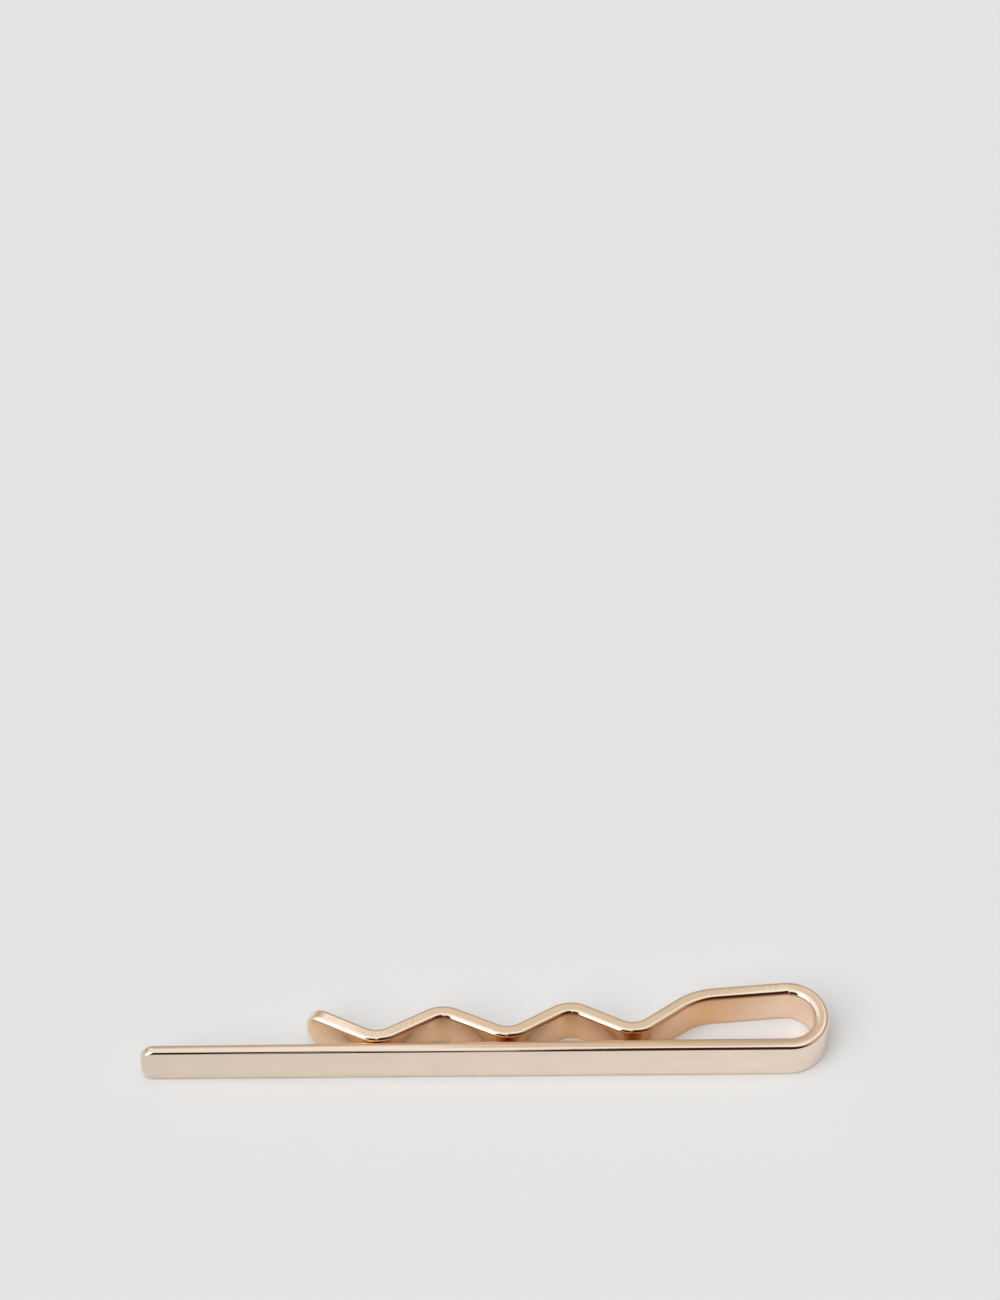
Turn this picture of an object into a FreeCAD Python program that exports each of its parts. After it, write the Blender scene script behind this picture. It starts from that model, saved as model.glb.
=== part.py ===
import FreeCAD, Part
import math
import os
import Sketcher

# Tie clip folded from one flat strip of metal, standing on the strip's long edge.
# X runs along the bar towards the return bend, Y from the bar's front face towards the spring
# leg, and Z across the strip. The origin lies under the middle of the closed clip.

# Driving dimensions in millimetres and degrees.
SIZES = {
    "overall_length": 60.0,         # free end of the bar to the outside of the bend
    "strip_width": 4.0,
    "strip_thickness": 1.3,         # in the bend and the leg
    "free_end_thickness": 1.06,     # what the bar thins to at its free end
    "edge_radius": 0.36,            # rounding along every edge of the strip
    "bar_corner_radius": 1.3,       # corners of the bar's free end
    "bend_outer_radius": 3.6,
    "shoulder_fall": 4.9,           # slope at which the leg leaves the bend
    "shoulder_inner_radius": 5.3,
    "shoulder_slope": 35.4,         # slope of the run from the shoulder to the first fold
    "first_fold": 13.56,            # along the bar, bend's axis to the first fold's centre
    "fold_pitch": 5.4,              # along the bar, that centre to the next
    "fold_pitch_step": 0.12,        # what each following pitch gains
    "fold_inner_radius": 1.9,
    "wave_height": 3.55,            # over the outsides of the folds
    "grip_gap": 0.12,               # closed clip, bar to the fold next to the tip
    "grip_gap_step": 0.13,          # what that gap gains at each fold towards the bend
    "tip_run": 5.45,                # straight run of the turned-up tip
    "tip_rise": 26.4,               # slope of the tip away from the bar
    "tip_corner_radius": 1.6,       # corners of the tip
}

# Folds of the wave between the shoulder and the tip, first a fold that nears the bar.
WAVE_FOLDS = 5

# Largest share of a wall that a rounding takes from one side.
ROUNDING_SHARE = 0.45
EDGE_ROUNDING = (
    f"min(Sizes.edge_radius; {ROUNDING_SHARE} * Sizes.free_end_thickness;"
    f" {ROUNDING_SHARE} * Sizes.strip_thickness)"
)

# Places on a sketch line or arc and the sketch's own axes, in the order of their numbers.
_, START, END, CENTRE = range(4)
HORIZONTAL_AXIS, VERTICAL_AXIS = range(-1, -3, -1)
ORIGIN = (HORIZONTAL_AXIS, START)


def make_sheet(doc):
    """Keeps the driving dimensions in a spreadsheet, one alias for each."""
    sheet = doc.addObject("Spreadsheet::Sheet", "Sizes")
    for row, (alias, value) in enumerate(SIZES.items(), start=1):
        sheet.set(f"A{row}", alias.replace("_", " "))
        sheet.set(f"B{row}", str(value))
        sheet.setAlias(f"B{row}", alias)
    doc.recompute()


def make_body(doc, name, turned=0):
    """Makes a sub-part whose own origin is on the axis of the return bend."""
    body = doc.addObject("PartDesign::Body", name)
    body.Label = name
    body.Placement.Rotation = FreeCAD.Rotation(FreeCAD.Vector(0, 0, 1), turned)
    body.setExpression("Placement.Base.x", "Sizes.overall_length / 2 - Sizes.bend_outer_radius")
    return body


def make_sketch(body, name, role):
    """Adds a sketch on one of the body's origin planes."""
    plane = next(item for item in body.Origin.OriginFeatures if item.Role == role)
    sketch = body.newObject("Sketcher::SketchObject", name)
    sketch.AttachmentSupport = [(plane, "")]
    sketch.MapMode = "FlatFace"
    return sketch


def drive(sketch, formula, kind, *elements):
    """Adds a dimension to a sketch and binds it to the sheet."""
    value = sketch.evalExpression(formula)
    if kind == "Angle":
        value = math.radians(value)
    index = sketch.addConstraint(Sketcher.Constraint(kind, *elements, value))
    sketch.setExpression(f"Constraints[{index}]", formula)


def draw_loop(sketch, points):
    """Draws a closed outline of straight lines through the points and returns the lines."""
    corners = [FreeCAD.Vector(*point) for point in points]
    lines = []
    for number, corner in enumerate(corners):
        following = corners[(number + 1) % len(corners)]
        lines.append(sketch.addGeometry(Part.LineSegment(corner, following)))
    for number, line in enumerate(lines):
        following = lines[(number + 1) % len(lines)]
        sketch.addConstraint(Sketcher.Constraint("Coincident", line, END, following, START))
    return lines


def draw_section(body):
    """Draws the strip's square-edged section on a plane through the bend's axis."""
    sketch = make_sketch(body, body.Label + "_section", "YZ_Plane")
    outside = -SIZES["bend_outer_radius"]
    inside = outside + SIZES["strip_thickness"]
    top = SIZES["strip_width"]
    lower, inner, upper, outer = draw_loop(
        sketch, [(outside, 0), (inside, 0), (inside, top), (outside, top)]
    )
    sketch.addConstraint([
        Sketcher.Constraint("Horizontal", lower),
        Sketcher.Constraint("Horizontal", upper),
        Sketcher.Constraint("Vertical", inner),
        Sketcher.Constraint("Vertical", outer),
        Sketcher.Constraint("PointOnObject", lower, START, HORIZONTAL_AXIS),
    ])
    drive(sketch, "Sizes.bend_outer_radius", "DistanceX", lower, START, *ORIGIN)
    drive(sketch, "Sizes.strip_thickness", "Distance", lower)
    drive(sketch, "Sizes.strip_width", "Distance", outer)
    return sketch


def end_face(shape, end):
    """Finds the face across the strip that stands nearest to a point of the plan."""
    return min(
        shape.Faces,
        key=lambda face: math.hypot(face.CenterOfMass.x - end.x, face.CenterOfMass.y - end.y),
    )


def names_of(shape, edges):
    """Gives the names of some edges of a shape."""
    return [
        f"Edge{number}"
        for number, candidate in enumerate(shape.Edges, start=1)
        if any(candidate.isSame(edge) for edge in edges)
    ]


def end_corners(shape, end):
    """Names the two edges that run through the strip's thickness at one of its ends."""
    lower, upper = sorted(end_face(shape, end).Edges, key=lambda edge: edge.CenterOfMass.z)[::3]
    return names_of(shape, [lower, upper])


def rim_edges(shape, seams):
    """Names the sharp edges along the strip, apart from those of its seams."""
    kept = [edge for seam in seams for edge in end_face(shape, seam).Edges]
    sharp = []
    for edge in shape.Edges:
        middle = edge.valueAt((edge.FirstParameter + edge.LastParameter) / 2)
        one, other = [
            face.normalAt(*face.Surface.parameter(middle))
            for face in shape.ancestorsOfType(edge, Part.Face)
        ]
        if one.getAngle(other) > math.radians(45) and not any(edge.isSame(item) for item in kept):
            sharp.append(edge)
    return names_of(shape, sharp)


def add_fillet(body, base, edges, formula, name):
    """Rounds the named edges of a feature and waits for the result."""
    fillet = body.newObject("PartDesign::Fillet", name)
    fillet.Base = (base, edges)
    fillet.setExpression("Radius", formula)
    body.Tip = fillet
    body.Document.recompute()
    return fillet


def corner_rounding(size):
    """Gives the formula of an end's corner radius, which leaves a flat between two corners."""
    return f"min(Sizes.{size}; {ROUNDING_SHARE} * Sizes.strip_width)"


def make_front_bar(doc):
    """The flat bar: straight in front, thinning from behind towards its rounded free end."""
    body = make_body(doc, "front_bar")
    plan = make_sketch(body, "front_bar_plan", "XY_Plane")
    front = -SIZES["bend_outer_radius"]
    free_end = -(SIZES["overall_length"] - SIZES["bend_outer_radius"])
    face, seam, back, end = draw_loop(plan, [
        (free_end, front),
        (0, front),
        (0, front + SIZES["strip_thickness"]),
        (free_end, front + SIZES["free_end_thickness"]),
    ])
    plan.addConstraint([
        Sketcher.Constraint("Horizontal", face),
        Sketcher.Constraint("Vertical", end),
        Sketcher.Constraint("PointOnObject", seam, START, VERTICAL_AXIS),
        Sketcher.Constraint("PointOnObject", back, START, VERTICAL_AXIS),
    ])
    drive(plan, "Sizes.bend_outer_radius", "DistanceY", seam, START, *ORIGIN)
    drive(plan, "Sizes.overall_length - Sizes.bend_outer_radius", "Distance", face)
    drive(plan, "Sizes.strip_thickness", "Distance", seam)
    drive(plan, "Sizes.free_end_thickness", "Distance", end)

    blank = body.newObject("PartDesign::Pad", "front_bar_blank")
    blank.Profile = plan
    blank.setExpression("Length", "Sizes.strip_width")
    doc.recompute()

    free_point = FreeCAD.Vector(free_end, front + SIZES["free_end_thickness"] / 2)
    seam_point = FreeCAD.Vector(0, front + SIZES["strip_thickness"] / 2)
    corners = end_corners(blank.Shape, free_point)
    cornered = add_fillet(
        body, blank, corners, corner_rounding("bar_corner_radius"), "front_bar_corners"
    )
    rim = rim_edges(cornered.Shape, [seam_point])
    add_fillet(body, cornered, rim, EDGE_ROUNDING, "front_bar_edges")
    return body


def make_return_bend(doc):
    """The half-round bend: the strip's section turned about the bend's axis."""
    body = make_body(doc, "return_bend")
    section = draw_section(body)
    turned = body.newObject("PartDesign::Revolution", "return_bend_turn")
    turned.Profile = section
    turned.ReferenceAxis = (section, ["V_Axis"])
    turned.setExpression("Angle", "180 + Sizes.shoulder_fall")
    doc.recompute()

    mean_radius = SIZES["bend_outer_radius"] - SIZES["strip_thickness"] / 2
    bar_seam = FreeCAD.Vector(0, -mean_radius)
    leg_seam = left_of(math.radians(SIZES["shoulder_fall"])) * mean_radius
    rim = rim_edges(turned.Shape, [bar_seam, leg_seam])
    add_fillet(body, turned, rim, EDGE_ROUNDING, "return_bend_edges")
    return body


def forward(heading):
    """The direction of a heading in the plan."""
    return FreeCAD.Vector(math.cos(heading), math.sin(heading))


def left_of(heading):
    """The direction to the left of a heading in the plan."""
    return FreeCAD.Vector(-math.sin(heading), math.cos(heading))


def wave_folds():
    """Lists the wave's folds from the bend to the tip, as formulas of each centre's place.

    Seen from the bend's axis with x towards the tip and y towards the bar. Every second fold
    turns away from the bar and is a fold that nears it, set off from the bar's back by its gap.
    """
    folds = []
    for number in range(WAVE_FOLDS):
        distance = (
            f"(Sizes.first_fold + {number} * Sizes.fold_pitch"
            f" + {number * (number - 1) // 2} * Sizes.fold_pitch_step)"
        )
        bar_back = (
            "Sizes.bend_outer_radius - Sizes.strip_thickness"
            f" + (Sizes.strip_thickness - Sizes.free_end_thickness) * {distance}"
            " / (Sizes.overall_length - Sizes.bend_outer_radius)"
        )
        near_side = (
            f"{bar_back} - Sizes.grip_gap - {WAVE_FOLDS - 1 - number} * Sizes.grip_gap_step"
        )
        outer_radius = "Sizes.fold_inner_radius + Sizes.strip_thickness"
        if number % 2:
            folds.append((1, distance, f"{near_side} - Sizes.wave_height + ({outer_radius})"))
        else:
            folds.append((-1, distance, f"{near_side} - ({outer_radius})"))
    return folds


def draw_leg_path(body):
    """Draws the leg's mean line from the bend to the tip: straight runs and tangent folds.

    Returns the sketch and the plan points of the leg's two ends.
    """
    sketch = make_sketch(body, "spring_leg_path", "XY_Plane")
    value = sketch.evalExpression
    bend_radius = "(Sizes.bend_outer_radius - Sizes.strip_thickness / 2)"
    shoulder_radius = "Sizes.shoulder_inner_radius + Sizes.strip_thickness / 2"
    fold_radius = "Sizes.fold_inner_radius + Sizes.strip_thickness / 2"
    folds = wave_folds()
    fall = math.radians(SIZES["shoulder_fall"])
    slope = math.radians(SIZES["shoulder_slope"])
    start = -left_of(fall) * value(bend_radius)

    # Centre and radius of each fold, the radius positive where the strip turns towards the bar.
    # The shoulder touches the run out of the bend and the sloping run to the first fold.
    radii = [value(shoulder_radius)] + [side * value(fold_radius) for side, _, _ in folds]
    centres = [FreeCAD.Vector(value(across), value(level)) for _, across, level in folds]
    shoulder = start + left_of(fall) * radii[0]
    apart = (centres[0] - shoulder).dot(left_of(slope)) - radii[1] + radii[0]
    shoulder += forward(fall) * (apart / forward(fall).dot(left_of(slope)))
    centres.insert(0, shoulder)

    # Heading of each straight run, which touches the folds at both its ends.
    headings = [fall, slope]
    for number in range(1, WAVE_FOLDS):
        span = centres[number + 1] - centres[number]
        swing = math.asin((radii[number + 1] - radii[number]) / span.Length)
        headings.append(math.atan2(span.y, span.x) - swing)
    headings.append(-math.radians(SIZES["tip_rise"]))

    runs = []
    arcs = []
    point = start
    for number, (centre, radius) in enumerate(zip(centres, radii)):
        entry = centre - left_of(headings[number]) * radius
        runs.append(sketch.addGeometry(Part.LineSegment(point, entry)))
        quarter = math.copysign(math.pi / 2, radius)
        bounds = sorted(heading - quarter for heading in headings[number:number + 2])
        circle = Part.Circle(centre, FreeCAD.Vector(0, 0, 1), abs(radius))
        arcs.append(sketch.addGeometry(Part.ArcOfCircle(circle, *bounds)))
        point = centre - left_of(headings[number + 1]) * radius
    tip = point + forward(headings[-1]) * SIZES["tip_run"]
    runs.append(sketch.addGeometry(Part.LineSegment(point, tip)))

    for number, (arc, radius) in enumerate(zip(arcs, radii)):
        entry, leave = (START, END) if radius > 0 else (END, START)
        sketch.addConstraint(Sketcher.Constraint("Tangent", runs[number], END, arc, entry))
        sketch.addConstraint(Sketcher.Constraint("Tangent", arc, leave, runs[number + 1], START))
        drive(sketch, fold_radius if number else shoulder_radius, "Radius", arc)
    for arc, (_, across, level) in zip(arcs[1:], folds):
        drive(sketch, across, "DistanceX", *ORIGIN, arc, CENTRE)
        drive(sketch, level, "DistanceY", *ORIGIN, arc, CENTRE)
    drive(sketch, f"{bend_radius} * sin(Sizes.shoulder_fall)", "DistanceX", *ORIGIN, runs[0], START)
    drive(sketch, f"{bend_radius} * cos(Sizes.shoulder_fall)", "DistanceY", runs[0], START, *ORIGIN)
    drive(sketch, "Sizes.shoulder_fall", "Angle", runs[0])
    drive(sketch, "Sizes.shoulder_slope", "Angle", runs[1])
    drive(sketch, "-Sizes.tip_rise", "Angle", runs[-1])
    drive(sketch, "Sizes.tip_run", "Distance", runs[-1])
    return sketch, start, tip


def make_spring_leg(doc):
    """The spring leg: the strip swept along the shoulder and the wave to the turned-up tip."""
    body = make_body(doc, "spring_leg", turned=180)
    section = draw_section(body)
    section.AttachmentOffset.Rotation = FreeCAD.Rotation(FreeCAD.Vector(0, 1, 0), 1)
    section.setExpression("AttachmentOffset.Rotation.Angle", "Sizes.shoulder_fall")
    path, start, tip = draw_leg_path(body)
    doc.recompute()

    swept = body.newObject("PartDesign::AdditivePipe", "spring_leg_sweep")
    swept.Profile = section
    swept.Spine = path
    doc.recompute()

    corners = end_corners(swept.Shape, tip)
    tipped = add_fillet(
        body, swept, corners, corner_rounding("tip_corner_radius"), "spring_leg_tip"
    )
    rim = rim_edges(tipped.Shape, [start])
    add_fillet(body, tipped, rim, EDGE_ROUNDING, "spring_leg_edges")

    mean_length = sum(edge.Length for edge in path.Shape.Edges)
    strip = SIZES["strip_width"] * SIZES["strip_thickness"] * mean_length
    print(f"spring leg: {mean_length:.2f} mm along its mean line")
    print(f"spring leg: swept volume over strip volume {swept.Shape.Volume / strip:.5f}")
    return body


doc = FreeCAD.newDocument("tie_clip")
make_sheet(doc)
pieces = [make_front_bar(doc), make_return_bend(doc), make_spring_leg(doc)]
doc.recompute()

for item in doc.Objects:
    if "Invalid" in item.State or "Error" in item.State:
        raise RuntimeError(f"{item.Label} failed: {item.State}")
for piece in pieces:
    if piece.Shape.isNull() or not piece.Shape.isValid():
        raise RuntimeError(f"{piece.Label} has no valid shape")

os.makedirs("parts", exist_ok=True)
for piece in pieces:
    piece.Shape.exportStep(f"parts/{piece.Label}.step")
    print(f"{piece.Label}: {piece.Shape.Volume:.3f} cubic mm")
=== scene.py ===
import math

import bmesh
import bpy
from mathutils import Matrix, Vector


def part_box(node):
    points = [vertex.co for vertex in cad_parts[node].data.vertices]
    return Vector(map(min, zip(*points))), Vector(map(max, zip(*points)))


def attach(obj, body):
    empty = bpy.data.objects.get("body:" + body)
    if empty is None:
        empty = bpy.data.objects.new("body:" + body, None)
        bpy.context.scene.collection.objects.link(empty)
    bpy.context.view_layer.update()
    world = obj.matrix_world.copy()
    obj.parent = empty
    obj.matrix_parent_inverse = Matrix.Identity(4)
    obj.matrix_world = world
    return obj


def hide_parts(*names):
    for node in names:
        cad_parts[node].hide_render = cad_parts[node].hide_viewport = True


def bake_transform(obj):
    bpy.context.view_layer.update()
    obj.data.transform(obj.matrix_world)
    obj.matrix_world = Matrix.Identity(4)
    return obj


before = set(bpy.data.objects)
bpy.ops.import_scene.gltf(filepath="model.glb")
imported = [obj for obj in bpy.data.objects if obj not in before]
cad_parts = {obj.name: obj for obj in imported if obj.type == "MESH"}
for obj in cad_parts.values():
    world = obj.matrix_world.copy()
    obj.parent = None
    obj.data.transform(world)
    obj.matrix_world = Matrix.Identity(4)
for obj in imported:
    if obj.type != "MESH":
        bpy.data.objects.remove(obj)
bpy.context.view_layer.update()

# Front bar. The flat length of the folded strip, the part that shows across the tie.
# It is brass, rolled a little thinner towards the free end from behind, cut with round corners,
# tumbled until every edge is soft, and plated rose gold.
FREE_END_THICKNESS = 0.00106
BAR_CORNER_RADIUS = 0.0013
BAR_CORNER_STEPS = 14
EDGE_RADIUS = 0.00036
EDGE_STEPS = 10
EDGE_CUTS = 2
INNER_SHARE = 0.983
BRACE_WIDTH = 0.0001
SHARP = math.radians(45)
TOUCHING = 1e-6


def start_blank(name):
    """Names the new primitive, puts its place into its mesh and opens it for modelling."""
    blank = bpy.context.object
    blank.name = name
    blank.data.name = name
    bpy.ops.object.transform_apply(location=True, rotation=True, scale=True)
    bpy.ops.object.mode_set(mode="EDIT")
    bpy.ops.mesh.select_mode(type="EDGE")
    return blank


def select_edges(strip, wanted):
    """Selects the edges of the open mesh that pass a test, and nothing else."""
    bpy.ops.mesh.select_all(action="DESELECT")
    mesh = bmesh.from_edit_mesh(strip.data)
    for edge in mesh.edges:
        edge.select_set(wanted(edge))
    mesh.select_flush_mode()
    bmesh.update_edit_mesh(strip.data)


def select_faces(strip, wanted):
    """Selects the faces of the open mesh that pass a test, and nothing else."""
    bpy.ops.mesh.select_all(action="DESELECT")
    mesh = bmesh.from_edit_mesh(strip.data)
    for face in mesh.faces:
        face.select_set(wanted(face))
    bmesh.update_edit_mesh(strip.data)


def lies_on(edge, point, normal):
    """Tells whether both ends of an edge are in a plane."""
    return all(abs((vertex.co - point).dot(normal)) < TOUCHING for vertex in edge.verts)


def is_corner(edge):
    """Tells whether an edge is sharp and runs through the strip's thickness."""
    across_width = abs(edge.verts[0].co.z - edge.verts[1].co.z)
    return across_width < edge.calc_length() / 2 and edge.calc_face_angle(0) > SHARP


def is_rim(edge, middle, side):
    """Tells whether an edge lies along the strip's wide face on one side."""
    reach = strip_thickness / (EDGE_CUTS + 1)
    return all((vertex.co - middle).dot(side) > reach for vertex in edge.verts)


def is_wide(face):
    """Tells whether a face reaches across most of the strip's width."""
    heights = [vertex.co.z for vertex in face.verts]
    return max(heights) - min(heights) > strip_width / 2


def is_seam(face, seams):
    """Tells whether a face lies in one of the planes where the strip goes on."""
    return any(all(lies_on(edge, *seam) for edge in face.edges) for seam in seams)


def slope_edges(strip, middle, inward):
    """Splits the strip's two narrow faces in three and lets them fall a little on the inside."""
    select_edges(
        strip,
        lambda edge: (edge.verts[0].co - edge.verts[1].co).cross(inward).length < TOUCHING,
    )
    bpy.ops.mesh.subdivide(number_cuts=EDGE_CUTS)
    select_edges(strip, lambda edge: is_rim(edge, middle, inward))
    bpy.ops.transform.resize(value=(1, 1, INNER_SHARE), center_override=middle)


def round_rim(strip, seams):
    """Rounds every sharp edge of a strip, apart from those of the faces where it goes on."""
    select_edges(
        strip,
        lambda edge: edge.calc_face_angle(0) > SHARP
        and not any(lies_on(edge, *seam) for seam in seams),
    )
    bpy.ops.mesh.bevel(offset=EDGE_RADIUS, segments=EDGE_STEPS, affect="EDGES")


def brace_faces(strip, seams):
    """Opens the seams and adds a line along the roundings, so that the wide faces shade flat."""
    select_faces(strip, lambda face: is_seam(face, seams))
    bpy.ops.mesh.delete(type="ONLY_FACE")
    select_faces(strip, is_wide)
    bpy.ops.mesh.inset(thickness=BRACE_WIDTH, use_boundary=False)


def close_strip(strip):
    """Welds and closes the finished mesh, turns its faces outwards and smooths its roundings."""
    bpy.ops.mesh.select_all(action="SELECT")
    bpy.ops.mesh.remove_doubles(threshold=TOUCHING)
    bpy.ops.mesh.fill_holes(sides=0)
    bpy.ops.mesh.select_all(action="SELECT")
    bpy.ops.mesh.normals_make_consistent(inside=False)
    bpy.ops.object.mode_set(mode="OBJECT")
    bpy.ops.object.shade_smooth_by_angle(angle=SHARP)


bpy.ops.object.select_all(action="DESELECT")
bar_low, bar_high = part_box("front_bar")
bar_middle = (bar_low + bar_high) / 2
strip_width = bar_high.z - bar_low.z
strip_thickness = bar_high.y - bar_low.y
along_bar = Vector((1, 0, 0))
behind_bar = Vector((0, 1, 0))

bpy.ops.mesh.primitive_cube_add(size=1, location=bar_middle, scale=bar_high - bar_low)
bar = start_blank("rose_gold_bar")
slope_edges(bar, bar_middle, behind_bar)

select_edges(
    bar,
    lambda edge: lies_on(edge, bar_low, along_bar)
    and all(vertex.co.y > bar_middle.y for vertex in edge.verts),
)
thinning = bar_low.y + FREE_END_THICKNESS - bar_high.y
bpy.ops.transform.translate(value=(0, thinning, 0))

select_edges(bar, lambda edge: lies_on(edge, bar_low, along_bar) and is_corner(edge))
bpy.ops.mesh.bevel(offset=BAR_CORNER_RADIUS, segments=BAR_CORNER_STEPS, affect="EDGES")
bar_seams = [(bar_high, along_bar)]
round_rim(bar, bar_seams)
brace_faces(bar, bar_seams)
close_strip(bar)

ROSE_GOLD = (0.92, 0.777, 0.645, 1)
# Painted shade and warm bounce light on the inner faces between bar and leg: the gold at the leg's tip
# and deep inside.
MOUTH_PAINTED_SHADE_GOLD = (0.96, 0.67, 0.41, 1)
INNER_PAINTED_SHADE_GOLD = (0.83, 0.5, 0.265, 1)
MOUTH_REACH = 0.006
MOUTH_LENGTH = 0.008
MOUTH_DEPTH = 0.024
LOOP_LENGTH = 0.012
LOOP_SHARE = 0.4
MOTTLE = (0.98, 1.015)
MOTTLE_NOISE = (0.35, 0.65)
RIPPLES_PER_METRE = Vector((350, 900, 900))
GRAINS_PER_METRE = 4200
BAR_RIPPLE = 0.000005
BAR_GRAIN = 0.0000006
BAR_ROUGHNESS = (0.04, 0.07)
# How dark the painted shade at the bar's free end gets.
BAR_PAINTED_END_SHADE = 0.9

leg_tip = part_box("spring_leg")[0].x
mouth = leg_tip - MOUTH_REACH


def mark_painted_shade(strip, inward):
    """Marks where painted shade and bounce light go: how far each point looks into the clip, less in
    the open loop and past the leg's tip.
    """
    inside = strip.data.attributes.new("inside", "FLOAT", "POINT")
    for vertex, mark in zip(strip.data.vertices, inside.data):
        in_loop = min(LOOP_SHARE + max(bar_high.x - vertex.co.x, 0) / LOOP_LENGTH, 1)
        in_mouth = min(max((vertex.co.x - mouth) / MOUTH_LENGTH, 0), 1)
        mark.value = max(0, vertex.normal.dot(inward(vertex.co))) * in_loop * in_mouth


def set_range(step, side, ends):
    """Sets the least and most on one side of a map range, From or To."""
    step.inputs[side + " Min"].default_value = ends[0]
    step.inputs[side + " Max"].default_value = ends[1]


def make_plating():
    """Builds what both finishes of the strip share: its rose gold with painted shade, a slow ripple
    and a fine grain.
    """
    plating = bpy.data.node_groups.new("rose_gold_plating", "ShaderNodeTree")
    for name in ("Ripple", "Grain", "Least Roughness", "Most Roughness", "Painted End Shade"):
        plating.interface.new_socket(name, in_out="INPUT", socket_type="NodeSocketFloat")
    plating.interface.new_socket("Colour", in_out="OUTPUT", socket_type="NodeSocketColor")
    plating.interface.new_socket("Roughness", in_out="OUTPUT", socket_type="NodeSocketFloat")
    plating.interface.new_socket("Height", in_out="OUTPUT", socket_type="NodeSocketFloat")
    nodes = plating.nodes
    links = plating.links
    given = nodes.new("NodeGroupInput")
    made = nodes.new("NodeGroupOutput")
    place = nodes.new("ShaderNodeTexCoord")
    along = nodes.new("ShaderNodeSeparateXYZ")
    links.new(place.outputs["Object"], along.inputs["Vector"])

    # Rose gold outside, and on the inner faces a fuller, darker gold painted in as the shade and warm
    # bounce light between bar and leg, which deepens from the leg's tip inwards.
    depth = nodes.new("ShaderNodeMapRange")
    set_range(depth, "From", (leg_tip, leg_tip + MOUTH_DEPTH))
    links.new(along.outputs["X"], depth.inputs["Value"])
    inner = nodes.new("ShaderNodeMix")
    inner.data_type = "RGBA"
    inner.inputs["A"].default_value = MOUTH_PAINTED_SHADE_GOLD
    inner.inputs["B"].default_value = INNER_PAINTED_SHADE_GOLD
    links.new(depth.outputs["Result"], inner.inputs["Factor"])
    inside = nodes.new("ShaderNodeAttribute")
    inside.attribute_name = "inside"
    tint_with_painted_shade = nodes.new("ShaderNodeMix")
    tint_with_painted_shade.data_type = "RGBA"
    tint_with_painted_shade.inputs["A"].default_value = ROSE_GOLD
    links.new(inner.outputs["Result"], tint_with_painted_shade.inputs["B"])
    links.new(inside.outputs["Fac"], tint_with_painted_shade.inputs["Factor"])

    # A slow ripple, which also mottles the colour, and a painted shade that darkens the colour towards
    # the free end.
    stretched = nodes.new("ShaderNodeMapping")
    stretched.inputs["Scale"].default_value = RIPPLES_PER_METRE
    links.new(place.outputs["Object"], stretched.inputs["Vector"])
    ripple = nodes.new("ShaderNodeTexNoise")
    ripple.inputs["Scale"].default_value = 1
    links.new(stretched.outputs["Vector"], ripple.inputs["Vector"])
    mottle = nodes.new("ShaderNodeMapRange")
    set_range(mottle, "From", MOTTLE_NOISE)
    set_range(mottle, "To", MOTTLE)
    links.new(ripple.outputs["Fac"], mottle.inputs["Value"])
    shade = nodes.new("ShaderNodeMapRange")
    set_range(shade, "From", (bar_low.x, bar_high.x))
    links.new(along.outputs["X"], shade.inputs["Value"])
    links.new(given.outputs["Painted End Shade"], shade.inputs["To Min"])
    mottle_and_painted_shade = nodes.new("ShaderNodeMath")
    mottle_and_painted_shade.operation = "MULTIPLY"
    links.new(shade.outputs["Result"], mottle_and_painted_shade.inputs[0])
    links.new(mottle.outputs["Result"], mottle_and_painted_shade.inputs[1])
    colour = nodes.new("ShaderNodeVectorMath")
    colour.operation = "SCALE"
    links.new(tint_with_painted_shade.outputs["Result"], colour.inputs[0])
    links.new(mottle_and_painted_shade.outputs["Value"], colour.inputs["Scale"])
    links.new(colour.outputs["Vector"], made.inputs["Colour"])

    # A fine grain, which also makes the polish uneven.
    grain = nodes.new("ShaderNodeTexNoise")
    grain.inputs["Scale"].default_value = GRAINS_PER_METRE
    links.new(place.outputs["Object"], grain.inputs["Vector"])
    polish = nodes.new("ShaderNodeMapRange")
    links.new(grain.outputs["Fac"], polish.inputs["Value"])
    links.new(given.outputs["Least Roughness"], polish.inputs["To Min"])
    links.new(given.outputs["Most Roughness"], polish.inputs["To Max"])
    links.new(polish.outputs["Result"], made.inputs["Roughness"])

    # The height of ripple and grain together.
    ripple_height = nodes.new("ShaderNodeMath")
    ripple_height.operation = "MULTIPLY"
    links.new(ripple.outputs["Fac"], ripple_height.inputs[0])
    links.new(given.outputs["Ripple"], ripple_height.inputs[1])
    height = nodes.new("ShaderNodeMath")
    height.operation = "MULTIPLY_ADD"
    links.new(grain.outputs["Fac"], height.inputs[0])
    links.new(given.outputs["Grain"], height.inputs[1])
    links.new(ripple_height.outputs["Value"], height.inputs[2])
    links.new(height.outputs["Value"], made.inputs["Height"])
    return plating


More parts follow.
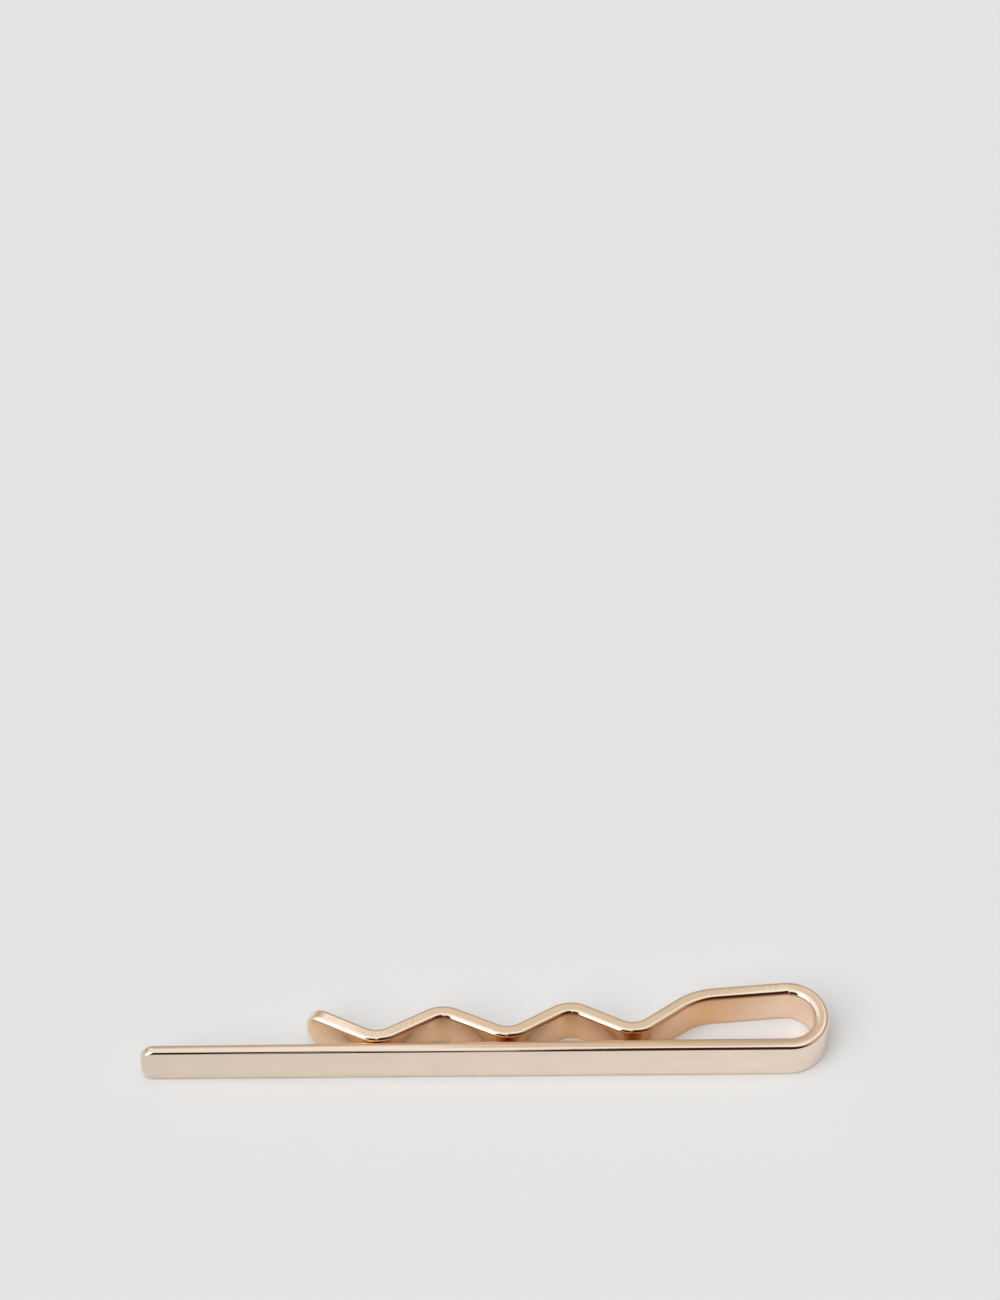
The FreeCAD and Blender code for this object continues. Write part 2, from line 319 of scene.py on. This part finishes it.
def plate(name, ripple, grain, roughness, painted_end_shade):
    """Makes one finish of the plated strip, with the height of its ripple and grain in metres and the
    painted shade at its free end.
    """
    finish = bpy.data.materials.new(name)
    finish.use_nodes = True
    nodes = finish.node_tree.nodes
    links = finish.node_tree.links
    metal = nodes["Principled BSDF"]
    metal.inputs["Metallic"].default_value = 1
    plating = nodes.new("ShaderNodeGroup")
    plating.node_tree = rose_gold_plating
    plating.inputs["Ripple"].default_value = ripple
    plating.inputs["Grain"].default_value = grain
    plating.inputs["Least Roughness"].default_value = roughness[0]
    plating.inputs["Most Roughness"].default_value = roughness[1]
    plating.inputs["Painted End Shade"].default_value = painted_end_shade
    surface = nodes.new("ShaderNodeBump")
    surface.inputs["Distance"].default_value = 1
    links.new(plating.outputs["Height"], surface.inputs["Height"])
    links.new(plating.outputs["Colour"], metal.inputs["Base Color"])
    links.new(plating.outputs["Roughness"], metal.inputs["Roughness"])
    links.new(surface.outputs["Normal"], metal.inputs["Normal"])
    return finish


mark_painted_shade(bar, lambda place: behind_bar)
rose_gold_plating = make_plating()
burnished_plate = plate("burnished_rose_gold", BAR_RIPPLE, BAR_GRAIN, BAR_ROUGHNESS, BAR_PAINTED_END_SHADE)
bar.data.materials.append(burnished_plate)
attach(bar, "bar")
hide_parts("front_bar")

# Return bend. The strip turned half round a mandrel, a little past the half circle, so that the
# leg behind leans towards the bar. This is the stretch that springs when a tie goes in.
BEND_STEPS = 96
SHOULDER_FALL = math.radians(4.9)

bend_low, bend_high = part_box("return_bend")
bend_outer_radius = (bend_high.y - bend_low.y) / 2
bend_mean_radius = bend_outer_radius - strip_thickness / 2
bend_inner_radius = bend_outer_radius - strip_thickness
bend_axis = Vector((bar_high.x, (bend_low.y + bend_high.y) / 2, bend_low.z + strip_width / 2))


def forward(heading):
    """The way along the strip, at 0 from the bend straight back along the bar."""
    return Vector((-math.cos(heading), -math.sin(heading), 0))


def barward(heading):
    """The way across the strip's thickness, at 0 straight towards the bar."""
    return Vector((math.sin(heading), -math.cos(heading), 0))


def start_section(name, heading):
    """Starts a strip from its flat section on the bend, where it has the given heading."""
    bpy.ops.object.select_all(action="DESELECT")
    middle = bend_axis - barward(heading) * bend_mean_radius
    bpy.ops.mesh.primitive_plane_add(
        size=1, location=middle, rotation=(math.pi / 2, 0, heading + math.pi / 2)
    )
    bpy.context.object.scale = (strip_thickness, strip_width, 1)
    section = start_blank(name)
    slope_edges(section, middle, barward(heading))
    bpy.ops.mesh.select_all(action="SELECT")
    return section


# A positive spin turns clockwise seen from above, against the bend.
bend = start_section("rose_gold_bend", math.pi)
bpy.ops.mesh.spin(
    steps=BEND_STEPS, angle=-math.pi - SHOULDER_FALL, center=bend_axis, axis=(0, 0, 1)
)
bend_seams = [(bend_axis, forward(math.pi)), (bend_axis, forward(SHOULDER_FALL))]
round_rim(bend, bend_seams)
brace_faces(bend, bend_seams)
close_strip(bend)

mark_painted_shade(bend, lambda place: (bend_axis - place).normalized())
bend.data.materials.append(burnished_plate)
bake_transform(bend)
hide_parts("return_bend")

# Spring leg. The same strip goes on behind the bar, pressed in a die: a shoulder, a wave of five folds
# whose near folds hold the cloth against the bar, and a tip turned up to let the cloth in.
SHOULDER_INNER_RADIUS = 0.0053
SHOULDER_SLOPE = math.radians(35.4)
WAVE_FOLDS = 5
FIRST_FOLD = 0.01356
FOLD_PITCH = 0.0054
FOLD_PITCH_STEP = 0.00012
FOLD_INNER_RADIUS = 0.0019
WAVE_HEIGHT = 0.00355
GRIP_GAP = 0.00012
GRIP_GAP_STEP = 0.00013
TIP_RUN = 0.00545
TIP_RISE = math.radians(26.4)
TIP_CORNER_RADIUS = 0.0016
TIP_CORNER_STEPS = 16
FOLD_STEP = math.radians(2)


def wave_folds():
    """Gives the centre and the signed mean radius of each fold, the first a near fold."""
    outer_radius = FOLD_INNER_RADIUS + strip_thickness
    mean_radius = FOLD_INNER_RADIUS + strip_thickness / 2
    bar_length = bar_high.x - bar_low.x
    distance = FIRST_FOLD
    for number in range(WAVE_FOLDS):
        thinned = (strip_thickness - FREE_END_THICKNESS) * distance / bar_length
        gap = GRIP_GAP + (WAVE_FOLDS - 1 - number) * GRIP_GAP_STEP
        near_side = bend_inner_radius + thinned - gap
        if number % 2:
            level = near_side - WAVE_HEIGHT + outer_radius
            radius = mean_radius
        else:
            level = near_side - outer_radius
            radius = -mean_radius
        yield bend_axis + forward(0) * distance + barward(0) * level, radius
        distance += FOLD_PITCH + number * FOLD_PITCH_STEP


def leg_folds():
    """Gives each fold's centre and radius, the shoulder first, and the headings between them."""
    centres = [centre for centre, radius in wave_folds()]
    radii = [radius for centre, radius in wave_folds()]
    shoulder_radius = SHOULDER_INNER_RADIUS + strip_thickness / 2
    shoulder = bend_axis + barward(SHOULDER_FALL) * (shoulder_radius - bend_mean_radius)
    apart = (centres[0] - shoulder).dot(barward(SHOULDER_SLOPE)) - radii[0] + shoulder_radius
    shoulder += forward(SHOULDER_FALL) * apart / math.sin(SHOULDER_FALL - SHOULDER_SLOPE)
    centres.insert(0, shoulder)
    radii.insert(0, shoulder_radius)

    headings = [SHOULDER_FALL, SHOULDER_SLOPE]
    for number in range(1, WAVE_FOLDS):
        span = centres[number + 1] - centres[number]
        bearing = math.atan2(span.dot(barward(0)), span.dot(forward(0)))
        swing = math.asin((radii[number + 1] - radii[number]) / span.length)
        headings.append(bearing - swing)
    headings.append(-TIP_RISE)
    return centres, radii, headings


def level_edges(strip, middle, heading):
    """Ends the slope of the narrow faces at one section, and leaves that section selected."""
    select_edges(
        strip,
        lambda edge: lies_on(edge, middle, forward(heading))
        and is_rim(edge, middle, barward(heading)),
    )
    bpy.ops.transform.resize(value=(1, 1, 1 / INNER_SHARE), center_override=middle)
    select_edges(strip, lambda edge: lies_on(edge, middle, forward(heading)))


leg = start_section("rose_gold_leg", SHOULDER_FALL)
leg_point = bend_axis - barward(SHOULDER_FALL) * bend_mean_radius
centres, radii, headings = leg_folds()
for number, (centre, radius) in enumerate(zip(centres, radii)):
    entry = centre - barward(headings[number]) * radius
    turn = headings[number + 1] - headings[number]
    bpy.ops.mesh.extrude_region_move(TRANSFORM_OT_translate={"value": entry - leg_point})
    if number == 0:
        level_edges(leg, entry, SHOULDER_FALL)
    bpy.ops.mesh.spin(
        steps=math.ceil(abs(turn) / FOLD_STEP), angle=-turn, center=centre, axis=(0, 0, 1)
    )
    leg_point = centre - barward(headings[number + 1]) * radius
tip_run = forward(-TIP_RISE) * TIP_RUN
tip = leg_point + tip_run
bpy.ops.mesh.extrude_region_move(TRANSFORM_OT_translate={"value": tip_run})

select_edges(leg, lambda edge: lies_on(edge, tip, forward(-TIP_RISE)) and is_corner(edge))
bpy.ops.mesh.bevel(offset=TIP_CORNER_RADIUS, segments=TIP_CORNER_STEPS, affect="EDGES")
round_rim(leg, bend_seams)
brace_faces(leg, bend_seams)
close_strip(leg)

LEG_RIPPLE = 0.00001
LEG_GRAIN = 0.000004
LEG_ROUGHNESS = (0.05, 0.11)
# The leg gets no painted shade at its end.
LEG_PAINTED_END_SHADE = 1

mark_painted_shade(leg, lambda place: barward(0))
tumbled_plate = plate("tumbled_rose_gold", LEG_RIPPLE, LEG_GRAIN, LEG_ROUGHNESS, LEG_PAINTED_END_SHADE)
leg.data.materials.append(tumbled_plate)
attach(leg, "leg")
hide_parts("spring_leg")

# Studio floor. A wide sheet of pale matt paper that the clip stands on, on the strip's long edge.
# To the eye and in the metal it shows its own paleness as well as the light and shadow on it.
FLOOR_SIZE = 40
FLOOR_COLOUR = (0.86, 0.86, 0.86, 1)
BACKDROP = (0.783, 0.783, 0.783, 1)
PALENESS = 0.1

bpy.ops.object.select_all(action="DESELECT")
bpy.ops.mesh.primitive_plane_add(size=FLOOR_SIZE)
floor = bpy.context.object
floor.name = "studio_floor"
paper = bpy.data.materials.new("pale_paper")
paper.use_nodes = True
paper_nodes = paper.node_tree.nodes
paper_links = paper.node_tree.links
paper_nodes.remove(paper_nodes["Principled BSDF"])
lit_paper = paper_nodes.new("ShaderNodeBsdfDiffuse")
lit_paper.inputs["Color"].default_value = FLOOR_COLOUR
pale_paper = paper_nodes.new("ShaderNodeEmission")
pale_paper.inputs["Color"].default_value = BACKDROP
ray = paper_nodes.new("ShaderNodeLightPath")
shown = paper_nodes.new("ShaderNodeMath")
shown.operation = "MAXIMUM"
paper_links.new(ray.outputs["Is Camera Ray"], shown.inputs[0])
paper_links.new(ray.outputs["Is Glossy Ray"], shown.inputs[1])
share = paper_nodes.new("ShaderNodeMath")
share.operation = "MULTIPLY"
paper_links.new(shown.outputs["Value"], share.inputs[0])
share.inputs[1].default_value = PALENESS
paper_mix = paper_nodes.new("ShaderNodeMixShader")
paper_links.new(share.outputs["Value"], paper_mix.inputs["Fac"])
paper_links.new(lit_paper.outputs["BSDF"], paper_mix.inputs[1])
paper_links.new(pale_paper.outputs["Emission"], paper_mix.inputs[2])
paper_links.new(paper_mix.outputs["Shader"], paper_nodes["Material Output"].inputs["Surface"])
floor.data.materials.append(paper)

# Studio light. A soft key lamp at the left in front and a broad top lamp light the paper. The metal
# shows the room: a pale ceiling and panel above, a window at each side behind, the key's soft box,
# dark cards on the camera's side, and the far rim of the paper all round.
KEY_LAMP = {"azimuth": -48, "elevation": 50, "spread": 48, "strength": 1.15}
TOP_LAMP = {"azimuth": -30, "elevation": 84, "spread": 45, "strength": 1.1}
AMBIENT = (0.27, 0.27, 0.27, 1)


def add_lamp(name, azimuth, elevation, spread, strength):
    """Adds a far soft lamp, which the metal doesn't show, by angles from the camera's side."""
    turn = math.radians(azimuth)
    rise = math.radians(elevation)
    towards = Vector((
        math.sin(turn) * math.cos(rise), -math.cos(turn) * math.cos(rise), math.sin(rise)
    ))
    bpy.ops.object.light_add(type="SUN", rotation=towards.to_track_quat("Z", "Y").to_euler())
    lamp = bpy.context.object
    lamp.name = name
    lamp.data.energy = strength
    lamp.data.angle = math.radians(spread)
    lamp.visible_glossy = False


add_lamp("key_lamp", **KEY_LAMP)
add_lamp("top_lamp", **TOP_LAMP)

# Spans are four angles in degrees: a patch comes in between the first two and goes out between the
# last two. Azimuth is 0 on the camera's side, or for the windows straight behind the clip. Ceiling
# and panel are round, and their edges are cosines of the angle from the middle that they share.
ROOM_LIGHT = (0.56, 0.45, 0.345, 1)
CEILING_MIDDLE = Vector((-0.5, -0.25, 0.83))
CEILING_LIGHT = (0.755, 0.67, 0.56, 1)
CEILING_EDGE = (0.445, 0.525)
PANEL_LIGHT = (1.02, 1.02, 1.02, 1)
PANEL_EDGE = (0.575, 0.615)
WINDOW_AZIMUTHS = ((-75, -65, -4.5, -2), (7.2, 10.2, 60, 70))
WINDOW_ELEVATION = (50, 54.5, 80, 88)
SOFT_BOX_LIGHT = (3.5, 3.5, 3.5, 1)
SOFT_BOX_AZIMUTH = (-80, -72, -40, -32)
SOFT_BOX_ELEVATION = (8, 16, 61, 69)
PAPER_RIM_ELEVATION = (-3, -2, 1.5, 4.5)
DARK_LIGHT = (0.045, 0.02, 0.01, 1)
DARK_CARDS = (
    ((-38, -30, -5.7, -5.1), (1.5, 4.5, 57, 67)),
    ((-5.3, -4.7, -1.6, -0.4), (1.5, 4.5, 42, 52)),
    ((-1.8, 0.2, 20, 70), (1.5, 4.5, 57, 67)),
    ((0, 4, 20, 70), (1.5, 4.5, 76, 84)),
)

room = bpy.data.worlds.new("studio_room")
bpy.context.scene.world = room
room.use_nodes = True
room_nodes = room.node_tree.nodes
room_links = room.node_tree.links


def room_math(operation, first, second=0.0):
    """Adds one step of arithmetic to the room's light."""
    step = room_nodes.new("ShaderNodeMath")
    step.operation = operation
    for socket, value in zip(step.inputs, (first, second)):
        if isinstance(value, (int, float)):
            socket.default_value = value
        else:
            room_links.new(value, socket)
    return step.outputs["Value"]


def fade(value, ends):
    """Goes smoothly from 0 to 1 while a value goes from one end to the other."""
    step = room_nodes.new("ShaderNodeMapRange")
    step.interpolation_type = "SMOOTHSTEP"
    room_links.new(value, step.inputs["Value"])
    set_range(step, "From", ends)
    return step.outputs["Result"]


def between(value, degrees):
    """Rises from 0 to 1 between the first two angles and falls back between the last two."""
    come_in, all_in, go_out, all_out = [math.radians(angle) for angle in degrees]
    return room_math("MULTIPLY", fade(value, (come_in, all_in)), fade(value, (all_out, go_out)))


def patch(turn, across, up):
    """Gives a soft-edged patch of the room by its span of azimuth and its span of elevation."""
    return room_math("MULTIPLY", between(turn, across), between(elevation, up))


def lay_over(light, mask, strength):
    """Puts light of another strength over the light so far, where the mask is 1."""
    step = room_nodes.new("ShaderNodeMix")
    step.data_type = "RGBA"
    room_links.new(mask, step.inputs["Factor"])
    room_links.new(light, step.inputs["A"])
    step.inputs["B"].default_value = strength
    return step.outputs["Result"]


way = room_nodes.new("ShaderNodeTexCoord")
parts = room_nodes.new("ShaderNodeSeparateXYZ")
room_links.new(way.outputs["Generated"], parts.inputs["Vector"])
azimuth = room_math("ARCTAN2", parts.outputs["X"], room_math("MULTIPLY", parts.outputs["Y"], -1))
far_azimuth = room_math("ARCTAN2", parts.outputs["X"], parts.outputs["Y"])
elevation = room_math("ARCSINE", parts.outputs["Z"])
towards_ceiling = room_nodes.new("ShaderNodeVectorMath")
towards_ceiling.operation = "DOT_PRODUCT"
room_links.new(way.outputs["Generated"], towards_ceiling.inputs[0])
towards_ceiling.inputs[1].default_value = CEILING_MIDDLE

plain = room_nodes.new("ShaderNodeRGB")
plain.outputs["Color"].default_value = ROOM_LIGHT
light = plain.outputs["Color"]
light = lay_over(light, fade(towards_ceiling.outputs["Value"], CEILING_EDGE), CEILING_LIGHT)
light = lay_over(light, fade(towards_ceiling.outputs["Value"], PANEL_EDGE), PANEL_LIGHT)
for across in WINDOW_AZIMUTHS:
    light = lay_over(light, patch(far_azimuth, across, WINDOW_ELEVATION), PANEL_LIGHT)
light = lay_over(light, patch(azimuth, SOFT_BOX_AZIMUTH, SOFT_BOX_ELEVATION), SOFT_BOX_LIGHT)
for across, up in DARK_CARDS:
    light = lay_over(light, patch(azimuth, across, up), DARK_LIGHT)
light = lay_over(light, between(elevation, PAPER_RIM_ELEVATION), BACKDROP)

# Only the metal shows the room. The paper gets an even light, and the camera sees a plain backdrop.
seen = room_nodes.new("ShaderNodeLightPath")
off_the_metal = room_math("SUBTRACT", 1, seen.outputs["Is Glossy Ray"])
light = lay_over(light, off_the_metal, AMBIENT)
light = lay_over(light, seen.outputs["Is Camera Ray"], BACKDROP)
room_links.new(light, room_nodes["Background"].inputs["Color"])

# Camera. A long lens above the front of the clip, as the photograph was taken. Its place follows from
# the pixel and the depth at which the foot of the bar stands in the picture.
IMAGE_WIDTH = 1000
IMAGE_HEIGHT = 1300
FOCAL_PIXELS = 3825
CAMERA_PITCH = math.radians(49.77)
CAMERA_YAW = math.radians(0.57)
FOOT_PIXEL = (486.1, 1077.3)
FOOT_DEPTH = 0.334
NEAREST_SEEN = 0.01
MIRRORINGS = 12

ahead = Vector((
    math.sin(CAMERA_YAW) * math.cos(CAMERA_PITCH),
    math.cos(CAMERA_YAW) * math.cos(CAMERA_PITCH),
    -math.sin(CAMERA_PITCH),
))
rightward = Vector((math.cos(CAMERA_YAW), -math.sin(CAMERA_YAW), 0))
upward = rightward.cross(ahead)
foot = Vector((0, bar_low.y, bar_low.z))
metres_per_pixel = FOOT_DEPTH / FOCAL_PIXELS
foot_right = (FOOT_PIXEL[0] - IMAGE_WIDTH / 2) * metres_per_pixel
foot_down = (FOOT_PIXEL[1] - IMAGE_HEIGHT / 2) * metres_per_pixel
bpy.ops.object.camera_add(
    location=foot - ahead * FOOT_DEPTH - rightward * foot_right + upward * foot_down,
    rotation=(math.pi / 2 - CAMERA_PITCH, 0, -CAMERA_YAW),
)
camera = bpy.context.object
camera.data.lens = FOCAL_PIXELS / IMAGE_HEIGHT * camera.data.sensor_width
camera.data.clip_start = NEAREST_SEEN
bpy.context.scene.camera = camera
bpy.context.scene.view_settings.view_transform = "Standard"
bpy.context.scene.cycles.glossy_bounces = MIRRORINGS
